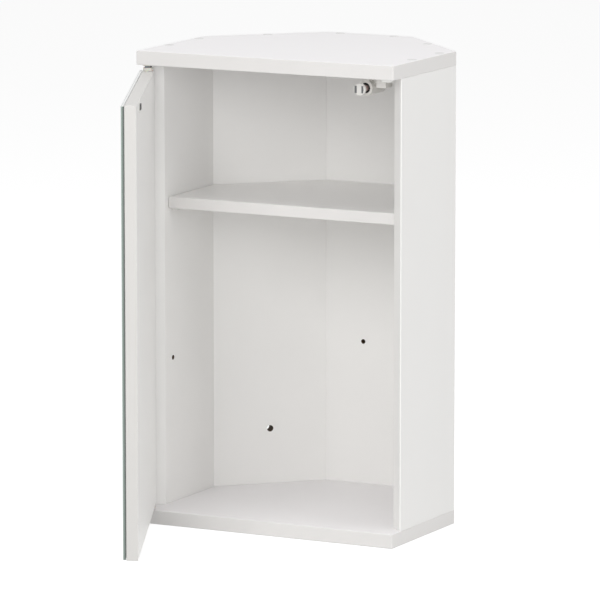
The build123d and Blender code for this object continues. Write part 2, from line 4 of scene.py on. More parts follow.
import bmesh
import bpy
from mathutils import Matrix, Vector


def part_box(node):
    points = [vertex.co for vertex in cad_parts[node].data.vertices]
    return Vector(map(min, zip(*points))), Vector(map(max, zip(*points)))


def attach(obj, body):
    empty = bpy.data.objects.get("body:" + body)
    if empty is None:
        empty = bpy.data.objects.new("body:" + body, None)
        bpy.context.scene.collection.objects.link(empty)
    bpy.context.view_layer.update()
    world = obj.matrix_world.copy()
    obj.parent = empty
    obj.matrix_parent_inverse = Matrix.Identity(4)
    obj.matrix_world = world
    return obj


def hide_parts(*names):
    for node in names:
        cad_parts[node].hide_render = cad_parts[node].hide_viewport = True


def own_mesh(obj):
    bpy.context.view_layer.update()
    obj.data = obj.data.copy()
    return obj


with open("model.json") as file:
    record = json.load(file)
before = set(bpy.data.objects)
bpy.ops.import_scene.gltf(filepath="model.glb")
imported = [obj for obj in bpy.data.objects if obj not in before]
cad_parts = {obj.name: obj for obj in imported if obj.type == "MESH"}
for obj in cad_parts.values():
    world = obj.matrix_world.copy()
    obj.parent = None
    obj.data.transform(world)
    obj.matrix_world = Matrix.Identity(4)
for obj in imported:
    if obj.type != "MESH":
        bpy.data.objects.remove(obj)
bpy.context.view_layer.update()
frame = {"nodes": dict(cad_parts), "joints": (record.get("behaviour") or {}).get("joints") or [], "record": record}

# The cabinet is a hexagon of white lacquered board, open at the front behind one mirror door.
# Lengths below are in millimetres and become metres with MM.
MM = 0.001


# Top and bottom board
# 15 mm fibreboard cut to a hexagon, its faces sprayed with white satin lacquer. The edges are painted
# a little warmer and darker than the faces: the warmer tint is the lacquer's, the darker tone is
# painted shade.
def linear(hex_code):
    """An sRGB colour such as F0EEEB as linear RGBA."""
    channels = [int(hex_code[i : i + 2], 16) / 255 for i in (0, 2, 4)]
    return [c / 12.92 if c <= 0.04045 else ((c + 0.055) / 1.055) ** 2.4 for c in channels] + [1.0]


def add_node(material, kind, settings=None, values=None, links=None):
    """Adds a shader node, gives it its settings and socket values, and links other nodes into it."""
    node = material.node_tree.nodes.new(kind)
    for name, setting in (settings or {}).items():
        setattr(node, name, setting)
    for socket, value in (values or {}).items():
        node.inputs[socket].default_value = value
    for socket, (source, output) in (links or {}).items():
        material.node_tree.links.new(source.outputs[output], node.inputs[socket])
    return node


def new_material(name):
    """A node material with nothing in it."""
    material = bpy.data.materials.new(name)
    material.use_nodes = True
    material.node_tree.nodes.clear()
    return material


def give_surface(material, shader):
    """Joins a finished shader to the material's output."""
    add_node(material, "ShaderNodeOutputMaterial", {}, {}, {"Surface": (shader, 0)})


def dress(material, *nodes):
    """Gives a material to the CAD nodes of those names."""
    for name in nodes:
        mesh = frame["nodes"][name].data
        mesh.materials.clear()
        mesh.materials.append(material)


def sprayed_lacquer(name, face_hex, edge_hex_with_painted_shade, edge_axis):
    """Satin lacquer: cloudy by half a percent over a hand's breadth, with a fine orange peel.

    Faces that look along edge_axis get the face colour, all others the edge colour; a darker edge colour is
    painted shade.
    """
    cloud_width = 90 * MM
    peel_width = 2.2 * MM
    peel_height = 0.012 * MM
    material = new_material(name)
    place = add_node(material, "ShaderNodeTexCoord")
    side = add_node(
        material,
        "ShaderNodeVectorMath",
        {"operation": "DOT_PRODUCT"},
        {1: edge_axis},
        {0: (place, "Normal")},
    )
    facing = add_node(material, "ShaderNodeMath", {"operation": "ABSOLUTE"}, {}, {0: (side, "Value")})
    on_face = add_node(
        material,
        "ShaderNodeMapRange",
        {"interpolation_type": "SMOOTHSTEP"},
        {"From Min": 0.6, "From Max": 0.9},
        {"Value": (facing, 0)},
    )
    cloud = add_node(
        material,
        "ShaderNodeTexNoise",
        {},
        {"Scale": 1 / cloud_width, "Detail": 3.0, "Roughness": 0.5},
        {"Vector": (place, "Object")},
    )
    base = add_node(
        material,
        "ShaderNodeMix",
        {"data_type": "RGBA"},
        {6: linear(edge_hex_with_painted_shade), 7: linear(face_hex)},
        {0: (on_face, 0)},
    )
    fade = add_node(
        material,
        "ShaderNodeMapRange",
        {},
        {"From Min": 0.3, "From Max": 0.7, "To Min": 0.985, "To Max": 1.0},
        {"Value": (cloud, 0)},
    )
    colour = add_node(
        material,
        "ShaderNodeVectorMath",
        {"operation": "SCALE"},
        {},
        {0: (base, 2), "Scale": (fade, 0)},
    )
    peel = add_node(
        material,
        "ShaderNodeTexNoise",
        {},
        {"Scale": 1 / peel_width, "Detail": 1.0, "Roughness": 0.4},
        {"Vector": (place, "Object")},
    )
    bump = add_node(
        material,
        "ShaderNodeBump",
        {},
        {"Strength": 1.0, "Distance": peel_height},
        {"Height": (peel, 0)},
    )
    gloss = add_node(
        material,
        "ShaderNodeMapRange",
        {},
        {"From Min": 0.3, "From Max": 0.7, "To Min": 0.40, "To Max": 0.46},
        {"Value": (cloud, 0)},
    )
    lacquer = add_node(
        material,
        "ShaderNodeBsdfPrincipled",
        {},
        {"IOR": 1.47, "Specular IOR Level": 0.5},
        {"Base Color": (colour, 0), "Roughness": (gloss, 0), "Normal": (bump, 0)},
    )
    give_surface(material, lacquer)
    return material


WHITE_FACE = "F5F3F4"
# The edge white is darker than the face white: painted shade on the edges, over a slightly warmer real tint.
EDGE_WHITE_WITH_PAINTED_SHADE = "E8E6E4"
flat_board_lacquer = sprayed_lacquer("lacquer_on_flat_boards", WHITE_FACE, EDGE_WHITE_WITH_PAINTED_SHADE, (0, 0, 1))
dress(flat_board_lacquer, "top_panel", "bottom_panel")

# Upright boards
# Two side boards with bevelled fronts, two wall boards at 45 degrees and a back board, from the same
# stock and spray. They stand edge to edge on glued mitres, between the top and bottom boards.
WHITE_WALL = "F5F4F2"
upright_lacquer = sprayed_lacquer("lacquer_on_upright_boards", WHITE_WALL, WHITE_WALL, (0, 0, 1))
dress(
    upright_lacquer,
    "left_side_panel",
    "right_side_panel",
    "left_wall_panel",
    "right_wall_panel",
    "back_panel",
)

# Corner dowels
# Turned beech pegs, glued across the mitres and hidden in them. Bare wood: fine grain along the peg
# with short dark flecks.
BEECH_LIGHT = "D3AE82"
BEECH_DARK = "AE8456"
BEECH_GRAIN_WIDTH = 0.7 * MM


def bare_fibre(name, light_hex, dark_hex, grain_width, distortion):
    """Bare wood or fibreboard, matt, mottled from light to dark by a grain of that width."""
    material = new_material(name)
    place = add_node(material, "ShaderNodeTexCoord")
    grain = add_node(
        material,
        "ShaderNodeTexNoise",
        {},
        {"Scale": 1 / grain_width, "Detail": 4.0, "Roughness": 0.6, "Distortion": distortion},
        {"Vector": (place, "Object")},
    )
    tone = add_node(
        material,
        "ShaderNodeMix",
        {"data_type": "RGBA"},
        {6: linear(light_hex), 7: linear(dark_hex)},
        {0: (grain, 0)},
    )
    fibre = add_node(
        material, "ShaderNodeBsdfPrincipled", {}, {"Roughness": 0.75}, {"Base Color": (tone, 2)}
    )
    give_surface(material, fibre)
    return material


dress(bare_fibre("turned_beech", BEECH_LIGHT, BEECH_DARK, BEECH_GRAIN_WIDTH, 0.4), "corner_dowels")

# Bores
# The boards' holes are drilled after the spray, so their walls and floors are bare fibreboard, painted
# dark brown: bare board deepened by painted shade. They are the shelf pins' holes, the two wall
# screws' holes and the carcass screws' counterbores.
PIN_BORE_D = 5.1 * MM
SPARE_PIN_DROP = 160 * MM  # empty pin holes below the pins
WALL_BORE_D = 7.0 * MM
COUNTERBORE_D = 10.1 * MM
# Dark brown: bare fibreboard with painted shade for the depth of the holes.
bare_board_with_painted_shade = bare_fibre("drilled_fibreboard_painted_shade", "66523F", "4A3A2C", 0.8 * MM, 0.2)


def middles(node, reach):
    """Middle of each separate solid of a CAD node whose solids lie more than reach apart."""
    groups = []
    for vertex in frame["nodes"][node].data.vertices:
        near = [group for group in groups if (vertex.co - group[0]).length < reach]
        if near:
            near[0].append(vertex.co.copy())
        else:
            groups.append([vertex.co.copy()])
    found = []
    for group in groups:
        low = Vector(min(point[i] for point in group) for i in range(3))
        high = Vector(max(point[i] for point in group) for i in range(3))
        found.append((low + high) / 2)
    return found


def show_bare_with_painted_shade(node, places, direction, diameter):
    """Gives the bare board, painted dark as shade, to the walls of a CAD node's bores along direction at places.
    """
    mesh = frame["nodes"][node].data
    if bare_board_with_painted_shade.name not in mesh.materials:
        mesh.materials.append(bare_board_with_painted_shade)
    along = Vector(direction).normalized()
    for face in mesh.polygons:
        for place in places:
            offset = face.center - Vector(place)
            if (offset - offset.dot(along) * along).length < diameter / 2:
                face.material_index = mesh.materials.find(bare_board_with_painted_shade.name)


pin_places = middles("shelf_pins", 40 * MM)
bore_places = pin_places + [place - Vector((0, 0, SPARE_PIN_DROP)) for place in pin_places]
for node, direction in (
    ("left_side_panel", (1, 0, 0)),
    ("right_side_panel", (1, 0, 0)),
    ("back_panel", (0, 1, 0)),
):
    show_bare_with_painted_shade(node, bore_places, direction, PIN_BORE_D)
for mount in frame["record"]["mounts"]:
    if mount["name"] in ("left_wall_hole", "right_wall_hole"):
        panel = mount["name"].replace("hole", "panel")
        show_bare_with_painted_shade(panel, [mount["pos_m"]], mount["axis"], WALL_BORE_D)
show_bare_with_painted_shade("top_panel", middles("top_screws", 40 * MM), (0, 0, 1), COUNTERBORE_D)
show_bare_with_painted_shade("bottom_panel", middles("bottom_screws", 40 * MM), (0, 0, 1), COUNTERBORE_D)


# Carcass screws
# Pan-head wood screws, bright zinc plate over steel. The plating is bluish and slightly blotchy, and
# the sixteen heads sit in counterbores of the top and bottom boards.
def plated_steel(name, light_hex, dark_hex, patch_width, smooth, rough):
    """A plated or oxidised steel whose tone and gloss wander over patches of that width."""
    material = new_material(name)
    place = add_node(material, "ShaderNodeTexCoord")
    patches = add_node(
        material,
        "ShaderNodeTexNoise",
        {},
        {"Scale": 1 / patch_width, "Detail": 4.0, "Roughness": 0.6},
        {"Vector": (place, "Object")},
    )
    tone = add_node(
        material,
        "ShaderNodeMix",
        {"data_type": "RGBA"},
        {6: linear(light_hex), 7: linear(dark_hex)},
        {0: (patches, 0)},
    )
    gloss = add_node(
        material,
        "ShaderNodeMapRange",
        {},
        {"From Min": 0.3, "From Max": 0.7, "To Min": smooth, "To Max": rough},
        {"Value": (patches, 0)},
    )
    metal = add_node(
        material,
        "ShaderNodeBsdfPrincipled",
        {},
        {"Metallic": 1.0},
        {"Base Color": (tone, 2), "Roughness": (gloss, 0)},
    )
    give_surface(material, metal)
    return material


bright_zinc = plated_steel("bright_zinc_plate", "D2D7DB", "B3B9C0", 1.6 * MM, 0.24, 0.38)
dress(bright_zinc, "top_screws", "bottom_screws")


# Screw covers
# Eight flat plastic covers pressed over the top board's screws, each with a rounded rim and a
# shallow dish. Moulded ABS, painted a touch greyer than the lacquer round them as painted shade at
# their rims.
def moulded_plastic(name, hex_code, shade, roughness, grain_width, grain_height):
    """Moulded plastic with the mould's fine grain; its tone wanders down to shade times itself."""
    material = new_material(name)
    place = add_node(material, "ShaderNodeTexCoord")
    grain = add_node(
        material,
        "ShaderNodeTexNoise",
        {},
        {"Scale": 1 / grain_width, "Detail": 2.0, "Roughness": 0.5},
        {"Vector": (place, "Object")},
    )
    flow = add_node(
        material,
        "ShaderNodeTexNoise",
        {},
        {"Scale": 1 / (25 * grain_width), "Detail": 2.0, "Roughness": 0.5},
        {"Vector": (place, "Object")},
    )
    fade = add_node(
        material,
        "ShaderNodeMapRange",
        {},
        {"From Min": 0.35, "From Max": 0.65, "To Min": shade, "To Max": 1.0},
        {"Value": (flow, 0)},
    )
    tone = add_node(
        material,
        "ShaderNodeVectorMath",
        {"operation": "SCALE"},
        {0: linear(hex_code)[:3]},
        {"Scale": (fade, 0)},
    )
    bump = add_node(
        material,
        "ShaderNodeBump",
        {},
        {"Strength": 1.0, "Distance": grain_height},
        {"Height": (grain, 0)},
    )
    plastic = add_node(
        material,
        "ShaderNodeBsdfPrincipled",
        {},
        {"IOR": 1.53, "Roughness": roughness},
        {"Base Color": (tone, 0), "Normal": (bump, 0)},
    )
    give_surface(material, plastic)
    return material


def edit(piece):
    """Makes a piece the only selected one and opens its mesh."""
    bpy.ops.object.mode_set(mode="OBJECT")
    bpy.ops.object.select_all(action="DESELECT")
    piece.select_set(True)
    bpy.context.view_layer.objects.active = piece
    bpy.ops.object.mode_set(mode="EDIT")


def pick_faces(piece, test):
    """In the open mesh, selects only the faces whose middle and normal pass the test."""
    bpy.context.tool_settings.mesh_select_mode = (False, False, True)
    bpy.ops.mesh.select_all(action="DESELECT")
    mesh = bmesh.from_edit_mesh(piece.data)
    for face in mesh.faces:
        face.select_set(test(face.calc_center_median(), face.normal))
    bmesh.update_edit_mesh(piece.data)


def pick_edges(piece, test):
    """In the open mesh, selects only the edges whose two ends pass the test."""
    bpy.context.tool_settings.mesh_select_mode = (False, True, False)
    bpy.ops.mesh.select_all(action="DESELECT")
    mesh = bmesh.from_edit_mesh(piece.data)
    for edge in mesh.edges:
        edge.select_set(test(edge.verts[0].co, edge.verts[1].co))
    bmesh.update_edit_mesh(piece.data)


def settle(piece, name, material, body, slot, *nodes):
    """Closes a finished piece: named, smooth, at the origin, dressed, and riding on its body."""
    bpy.ops.object.mode_set(mode="OBJECT")
    bpy.ops.object.select_all(action="DESELECT")
    piece.select_set(True)
    bpy.context.view_layer.objects.active = piece
    bpy.ops.object.transform_apply(location=True, rotation=True, scale=True)
    bpy.ops.object.shade_smooth_by_angle(angle=radians(35))
    piece.name = name
    piece.data.name = name
    piece.data.materials.clear()
    piece.data.materials.append(material)
    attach(piece, body)
    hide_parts(*nodes)


COVER_D = 10.0 * MM
COVER_THICKNESS = 1.2 * MM
COVER_RIM_ROUND = 0.3 * MM
COVER_RIM_WIDTH = 0.9 * MM
COVER_DISH = 0.12 * MM
COVER_GATE = 0.7 * MM  # radius of the gate mark in the middle
COVER_GATE_DEPTH = 0.06 * MM
# The covers' grey is painted shade.
cover_abs_painted_shade = moulded_plastic("satin_abs_covers_painted_shade", "DFDEDD", 0.97, 0.42, 0.35 * MM, 0.006 * MM)
bpy.ops.object.select_all(action="DESELECT")
bpy.ops.mesh.primitive_cylinder_add(
    vertices=64, radius=COVER_D / 2, depth=COVER_THICKNESS, end_fill_type="NGON", location=(0, 0, 0)
)
first_cover = bpy.context.object
cover_top = COVER_THICKNESS / 2
edit(first_cover)
pick_edges(first_cover, lambda a, b: min(a.z, b.z) > 0.9 * cover_top)
bpy.ops.mesh.bevel(offset=COVER_RIM_ROUND, segments=4, affect="EDGES")
pick_faces(first_cover, lambda middle, normal: normal.z > 0.99)
bpy.ops.mesh.inset(thickness=COVER_RIM_WIDTH)
bpy.ops.mesh.inset(thickness=COVER_RIM_ROUND, depth=-COVER_DISH)
bpy.ops.mesh.inset(thickness=COVER_D / 2 - COVER_RIM_WIDTH - 2 * COVER_RIM_ROUND - COVER_GATE)
bpy.ops.mesh.inset(thickness=COVER_GATE_DEPTH, depth=-COVER_GATE_DEPTH)
bpy.ops.object.mode_set(mode="OBJECT")
covers = [first_cover]
cover_places = middles("screw_caps", 2 * COVER_D)
for place in cover_places[1:]:
    cover = first_cover.copy()
    cover.data = first_cover.data.copy()
    bpy.context.scene.collection.objects.link(cover)
    covers.append(cover)
for number, (cover, place) in enumerate(zip(covers, cover_places), 1):
    cover.location = place
    settle(cover, f"screw_cover_{number}", cover_abs_painted_shade, "cabinet", "cap_white", "screw_caps")

# Shelf and its pins
# A loose 12 mm board, sprayed like the carcass. It lies on three pegs of moulded white nylon that are
# pushed into the boards, and its notches hook over them.
# The shelf's edges take the darker edge white: painted shade.
shelf_lacquer = sprayed_lacquer("lacquer_on_shelf", WHITE_WALL, EDGE_WHITE_WITH_PAINTED_SHADE, (0, 0, 1))
dress(shelf_lacquer, "shelf")
pin_nylon = moulded_plastic("moulded_nylon_pins", "E4E3DF", 0.97, 0.4, 0.4 * MM, 0.006 * MM)
dress(pin_nylon, "shelf_pins")

# Pivots
# A steel pin with a collar stands in a nylon bush in the top and the bottom board, and the door
# turns on it with a bush of its own. Natural nylon is milky, and lets a little light in.
NYLON = "EAE8E1"
NYLON_GRAIN_WIDTH = 0.5 * MM
NYLON_GRAIN_HEIGHT = 0.004 * MM
NYLON_GLOW_DEPTH = 0.8 * MM
nylon = new_material("natural_nylon")
place = add_node(nylon, "ShaderNodeTexCoord")
grain = add_node(
    nylon,
    "ShaderNodeTexNoise",
    {},
    {"Scale": 1 / NYLON_GRAIN_WIDTH, "Detail": 2.0},
    {"Vector": (place, "Object")},
)
bump = add_node(
    nylon, "ShaderNodeBump", {}, {"Strength": 1.0, "Distance": NYLON_GRAIN_HEIGHT}, {"Height": (grain, 0)}
)
tone = add_node(
    nylon,
    "ShaderNodeMix",
    {"data_type": "RGBA"},
    {6: linear(NYLON), 7: linear("DEDBD1")},
    {0: (grain, 0)},
)
milky = add_node(
    nylon,
    "ShaderNodeBsdfPrincipled",
    {},
    {
        "IOR": 1.53,
        "Roughness": 0.38,
        "Subsurface Weight": 0.2,
        "Subsurface Scale": NYLON_GLOW_DEPTH,
    },
    {"Base Color": (tone, 2), "Normal": (bump, 0)},
)
give_surface(nylon, milky)
dress(nylon, "top_panel_bush", "bottom_panel_bush", "door_top_bush", "door_bottom_bush")
drawn_steel = plated_steel("drawn_steel_bar", "8E9092", "6C6E71", 0.5 * MM, 0.3, 0.45)
dress(drawn_steel, "top_pivot_pin", "bottom_pivot_pin")

# Door board
# 12 mm board, sprayed all over like the carcass; its inner face shows while the door stands open.
# The door's edges are painted much darker than its faces: painted shade.
DOOR_EDGE_WITH_PAINTED_SHADE = "D8D6D3"
door_hinge = next(joint for joint in frame["joints"] if joint["name"] == "door_hinge")
door_turn = radians(door_hinge["range_deg"][1])
mirror_out = Vector((-sin(door_turn), -cos(door_turn), 0))
door_lacquer = sprayed_lacquer("lacquer_on_door_board", WHITE_WALL, DOOR_EDGE_WITH_PAINTED_SHADE, mirror_out)
dress(door_lacquer, "door_board")

# Mirror film
# White foam film that bonds the glass to the board, a little smaller than both. Its cut edge is open
# foam, fine and matt.
FOAM_CELL = 0.3 * MM
foam = new_material("white_foam_film")
place = add_node(foam, "ShaderNodeTexCoord")
cells = add_node(
    foam, "ShaderNodeTexVoronoi", {}, {"Scale": 1 / FOAM_CELL}, {"Vector": (place, "Object")}
)
tone = add_node(
    foam,
    "ShaderNodeMix",
    {"data_type": "RGBA"},
    {6: linear("C9C9C6"), 7: linear("E4E4E1")},
    {0: (cells, "Distance")},
)
matt = add_node(foam, "ShaderNodeBsdfPrincipled", {}, {"Roughness": 0.9}, {"Base Color": (tone, 2)})
give_surface(foam, matt)
dress(foam, "mirror_adhesive")

# Mirror
# 3 mm float glass, silvered on the side that faces the board, its edges ground. The broad faces
# mirror the room. The upright edges are grey-green, the glass's own tint, with painted shade beside
# the silver and a painted highlight at the outer arris; the top and bottom edges are frosted and
# painted nearly white as painted light, with a painted shade line at the arris.
# Stops across the glass's thickness, from the silver to the outer arris: grey-green tint with painted shade and a
# painted highlight on the upright edges, painted light and a painted shade line on the level edges.
UPRIGHT_EDGE_TINT_AND_PAINTED_SHADE = ((0.1, "68706C"), (0.6, "7F8B85"), (0.95, "B9C6C0"))
LEVEL_EDGE_FROST_AND_PAINTED_LIGHT = ((0.6, "E9EAE9"), (0.8, "BFC3C1"), (1.0, "C5C8C6"))
GRIND_WIDTH = 1.1 * MM
GRIND_HEIGHT = 0.02 * MM


def span(node, direction):
    """Least and greatest reach of a CAD node's points along a direction."""
    reaches = [vertex.co.dot(direction) for vertex in frame["nodes"][node].data.vertices]
    return min(reaches), max(reaches)


glass_back, glass_front = span("mirror_glass", mirror_out)
silvered_glass = new_material("silvered_float_glass")
place = add_node(silvered_glass, "ShaderNodeTexCoord")
side = add_node(
    silvered_glass,
    "ShaderNodeVectorMath",
    {"operation": "DOT_PRODUCT"},
    {1: mirror_out},
    {0: (place, "Normal")},
)
facing = add_node(silvered_glass, "ShaderNodeMath", {"operation": "ABSOLUTE"}, {}, {0: (side, "Value")})
on_face = add_node(
    silvered_glass,
    "ShaderNodeMath",
    {"operation": "GREATER_THAN"},
    {1: 0.9},
    {0: (facing, 0)},
)
rise = add_node(
    silvered_glass,
    "ShaderNodeVectorMath",
    {"operation": "DOT_PRODUCT"},
    {1: (0, 0, 1)},
    {0: (place, "Normal")},
)
steep = add_node(silvered_glass, "ShaderNodeMath", {"operation": "ABSOLUTE"}, {}, {0: (rise, "Value")})
level_edge_painted_light_mask = add_node(
    silvered_glass,
    "ShaderNodeMath",
    {"operation": "GREATER_THAN"},
    {1: 0.5},
    {0: (steep, 0)},
)
depth = add_node(
    silvered_glass,
    "ShaderNodeVectorMath",
    {"operation": "DOT_PRODUCT"},
    {1: mirror_out},
    {0: (place, "Object")},
)
share = add_node(
    silvered_glass,
    "ShaderNodeMapRange",
    {},
    {"From Min": glass_back, "From Max": glass_front},
    {"Value": (depth, "Value")},
)
edge_ramps_tint_and_painted_light = []
for stops in (UPRIGHT_EDGE_TINT_AND_PAINTED_SHADE, LEVEL_EDGE_FROST_AND_PAINTED_LIGHT):
    ramp = add_node(silvered_glass, "ShaderNodeValToRGB", {}, {}, {0: (share, 0)})
    ramp.color_ramp.elements.new(0.5)
    for element, (position, hex_code) in zip(ramp.color_ramp.elements, stops):
        element.position = position
        element.color = linear(hex_code)
    edge_ramps_tint_and_painted_light.append(ramp)
edge_tint_and_painted_light = add_node(
    silvered_glass,
    "ShaderNodeMix",
    {"data_type": "RGBA"},
    {},
    {0: (level_edge_painted_light_mask, 0), 6: (edge_ramps_tint_and_painted_light[0], 0), 7: (edge_ramps_tint_and_painted_light[1], 0)},
)
grind = add_node(
    silvered_glass,
    "ShaderNodeTexNoise",
    {},
    {"Scale": 1 / GRIND_WIDTH, "Detail": 3.0},
    {"Vector": (place, "Object")},
)
ground = add_node(
    silvered_glass, "ShaderNodeBump", {}, {"Strength": 1.0, "Distance": GRIND_HEIGHT}, {"Height": (grind, 0)}
)
edge_glass = add_node(
    silvered_glass,
    "ShaderNodeBsdfPrincipled",
    {},
    {"IOR": 1.52, "Roughness": 0.3},
    {"Base Color": (edge_tint_and_painted_light, 2), "Normal": (ground, 0)},
)
silver_tone = add_node(
    silvered_glass,
    "ShaderNodeMix",
    {"data_type": "RGBA"},
    {6: linear("D6DDD9"), 7: linear("D2D9D6")},
    {0: (grind, 0)},
)
silver = add_node(
    silvered_glass,
    "ShaderNodeBsdfPrincipled",
    {},
    {"Metallic": 1.0, "Roughness": 0.015},
    {"Base Color": (silver_tone, 2)},
)
mirror = add_node(
    silvered_glass,
    "ShaderNodeMixShader",
    {},
    {},
    {0: (on_face, 0), 1: (edge_glass, 0), 2: (silver, 0)},
)
give_surface(silvered_glass, mirror)
dress(silvered_glass, "mirror_glass")

# Strike
# A white moulded disc on the door's inner face carries a stamped steel bar, which the latch's magnet
# holds. One dark screw goes through both into the door, its head flush in the bar.
DISC_D = 13.0 * MM
DISC_THICKNESS = 0.8 * MM
DISC_RIM_ROUND = 0.35 * MM
DISC_RIM_WIDTH = 0.5 * MM
DISC_STEP = 0.12 * MM
DISC_POCKET = 0.3 * MM
BAR_WIDTH = 11.0 * MM
BAR_HEIGHT = 5.8 * MM
BAR_CORNER = 0.7 * MM
BAR_ARRIS = 0.25 * MM
BAR_PLAY = 0.06 * MM
STRIKE_HEAD_D = 4.9 * MM
STRIKE_HEAD_SEAT = 0.8 * MM
STRIKE_BORE_D = 3.1 * MM
door_inward = -mirror_out
door_up = Vector((0, 0, 1))
door_along = door_up.cross(door_inward)
door_facing = door_inward.to_track_quat("Z", "Y").to_euler()


def brick(low, high):
    """A box between two corners, as the start of a piece."""
    bpy.ops.object.select_all(action="DESELECT")
    bpy.ops.mesh.primitive_cube_add(size=1, location=(Vector(low) + Vector(high)) / 2)
    piece = bpy.context.object
    piece.scale = Vector(high) - Vector(low)
    bpy.ops.object.transform_apply(location=True, rotation=True, scale=True)
    return piece


def round_bar(start, end, diameter):
    """A round bar between two points, as the start of a piece."""
    start, end = Vector(start), Vector(end)
    bpy.ops.object.select_all(action="DESELECT")
    bpy.ops.mesh.primitive_cylinder_add(
        vertices=64, radius=diameter / 2, depth=(end - start).length, location=(start + end) / 2
    )
    piece = bpy.context.object
    piece.rotation_euler = (end - start).to_track_quat("Z", "Y").to_euler()
    bpy.ops.object.transform_apply(location=True, rotation=True, scale=True)
    return piece


def cut_away(piece, cutter):
    """Takes a cutter's form out of a piece and removes the cutter."""
    bpy.ops.object.select_all(action="DESELECT")
    piece.select_set(True)
    bpy.context.view_layer.objects.active = piece
    carve = piece.modifiers.new("cut", "BOOLEAN")
    carve.operation = "DIFFERENCE"
    carve.solver = "EXACT"
    carve.object = cutter
    bpy.ops.object.modifier_apply(modifier=carve.name)
    bpy.data.objects.remove(cutter, do_unlink=True)


disc_acetal = moulded_plastic("white_acetal_disc", "E6E5E1", 0.98, 0.35, 0.4 * MM, 0.004 * MM)
strike_disc = round_bar((0, 0, 0), (0, 0, DISC_THICKNESS), DISC_D)
edit(strike_disc)
pick_edges(strike_disc, lambda a, b: min(a.z, b.z) > 0.9 * DISC_THICKNESS)
bpy.ops.mesh.bevel(offset=DISC_RIM_ROUND, segments=4, affect="EDGES")
pick_faces(strike_disc, lambda middle, normal: normal.z > 0.99)
bpy.ops.mesh.inset(thickness=DISC_RIM_WIDTH)
bpy.ops.mesh.inset(thickness=DISC_STEP, depth=-DISC_STEP)
bpy.ops.object.mode_set(mode="OBJECT")
pocket_half = Vector((BAR_WIDTH / 2 + BAR_PLAY, BAR_HEIGHT / 2 + BAR_PLAY, 0))
pocket_floor = Vector((0, 0, DISC_THICKNESS - DISC_POCKET))
pocket_top = Vector((0, 0, 2 * DISC_THICKNESS))
cut_away(strike_disc, brick(pocket_floor - pocket_half, pocket_top + pocket_half))
cut_away(strike_disc, round_bar((0, 0, -DISC_THICKNESS), pocket_top, STRIKE_BORE_D))
disc_back, disc_front = span("strike_disc", door_inward)
bar_back, bar_front = span("strike_plate", door_inward)
strike_axis = door_along * sum(span("strike_disc", door_along)) / 2
strike_axis += door_up * sum(span("strike_disc", door_up)) / 2
strike_disc.location = strike_axis + door_inward * disc_back
strike_disc.rotation_euler = door_facing
settle(strike_disc, "strike_base", disc_acetal, "door", "strike_white", "strike_disc")

bar_steel = plated_steel("stamped_strike_steel", "777776", "4E4E4E", 0.8 * MM, 0.38, 0.55)
half = Vector((BAR_WIDTH, BAR_HEIGHT, bar_front - bar_back)) / 2
strike_bar = brick(-half, half)
edit(strike_bar)
pick_edges(strike_bar, lambda a, b: abs(a.z - b.z) > half.z)
bpy.ops.mesh.bevel(offset=BAR_CORNER, segments=5, affect="EDGES")
pick_edges(strike_bar, lambda a, b: min(a.z, b.z) > 0.9 * half.z)
bpy.ops.mesh.bevel(offset=BAR_ARRIS, segments=3, affect="EDGES")
bpy.ops.object.mode_set(mode="OBJECT")
below, above = Vector((0, 0, -2 * half.z)), Vector((0, 0, 2 * half.z))
cut_away(strike_bar, round_bar(below, above, STRIKE_BORE_D))
seat = Vector((0, 0, half.z - STRIKE_HEAD_SEAT))
cut_away(strike_bar, round_bar(seat, above, STRIKE_HEAD_D))
strike_bar.location = strike_axis + door_inward * (bar_back + bar_front) / 2
strike_bar.rotation_euler = door_facing
settle(strike_bar, "strike_bar", bar_steel, "door", "strike_steel", "strike_plate")
black_oxide = plated_steel("black_oxide_steel", "2A2928", "1B1A1A", 0.8 * MM, 0.35, 0.5)
dress(black_oxide, "strike_screw")

# Latch housing
# One moulding in white acetal: a barrel with an open mouth, a plate under the top board, a web, a
# gusset and a foot with a well for its screw. All its edges are softly rounded by the mould.
LATCH_BARREL_D = 16.0 * MM
LATCH_BARREL_FRONT_TO_BACK = 34.5 * MM
LATCH_MOUTH_D = 10.8 * MM
LATCH_MOUTH_DEPTH = 12.0 * MM  # holds the sleeve
LATCH_THROAT_D = 6.8 * MM
LATCH_END_WALL = 2.0 * MM
LATCH_PLATE = 3.0 * MM
LATCH_WEB = 8.0 * MM
LATCH_FOOT_WIDTH = 11.0 * MM
LATCH_FOOT_DROP = 12.0 * MM
LATCH_FOOT_LENGTH = 15.0 * MM
LATCH_GUSSET = 2.0 * MM
LATCH_SCREW_BORE_D = 3.1 * MM
LATCH_WELL_D = 6.8 * MM
LATCH_ROUND = 0.4 * MM
latch_acetal = moulded_plastic("white_acetal_housing", "E8E6E1", 0.97, 0.36, 0.4 * MM, 0.008 * MM)
housing_low, housing_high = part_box("latch_bracket")
tip_low, tip_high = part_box("latch_tip")
latch_axis = (tip_low + tip_high) / 2
barrel_back = housing_high.y
barrel_front = barrel_back - LATCH_BARREL_FRONT_TO_BACK
foot_back = housing_low.y + LATCH_FOOT_LENGTH
ceiling = housing_high.z


def fuse(pieces, voxel, rounds):
    """Melts overlapping closed forms into one skin and smooths it, as a mould rounds its edges."""
    bpy.ops.object.select_all(action="DESELECT")
    for piece in pieces:
        piece.select_set(True)
    bpy.context.view_layer.objects.active = pieces[0]
    bpy.ops.object.join()
    whole = bpy.context.object
    remesh = whole.modifiers.new("skin", "REMESH")
    remesh.mode = "VOXEL"
    remesh.voxel_size = voxel
    bpy.ops.object.modifier_apply(modifier=remesh.name)
    smooth = whole.modifiers.new("round", "SMOOTH")
    smooth.factor = 0.5
    smooth.iterations = rounds
    bpy.ops.object.modifier_apply(modifier=smooth.name)
    return whole


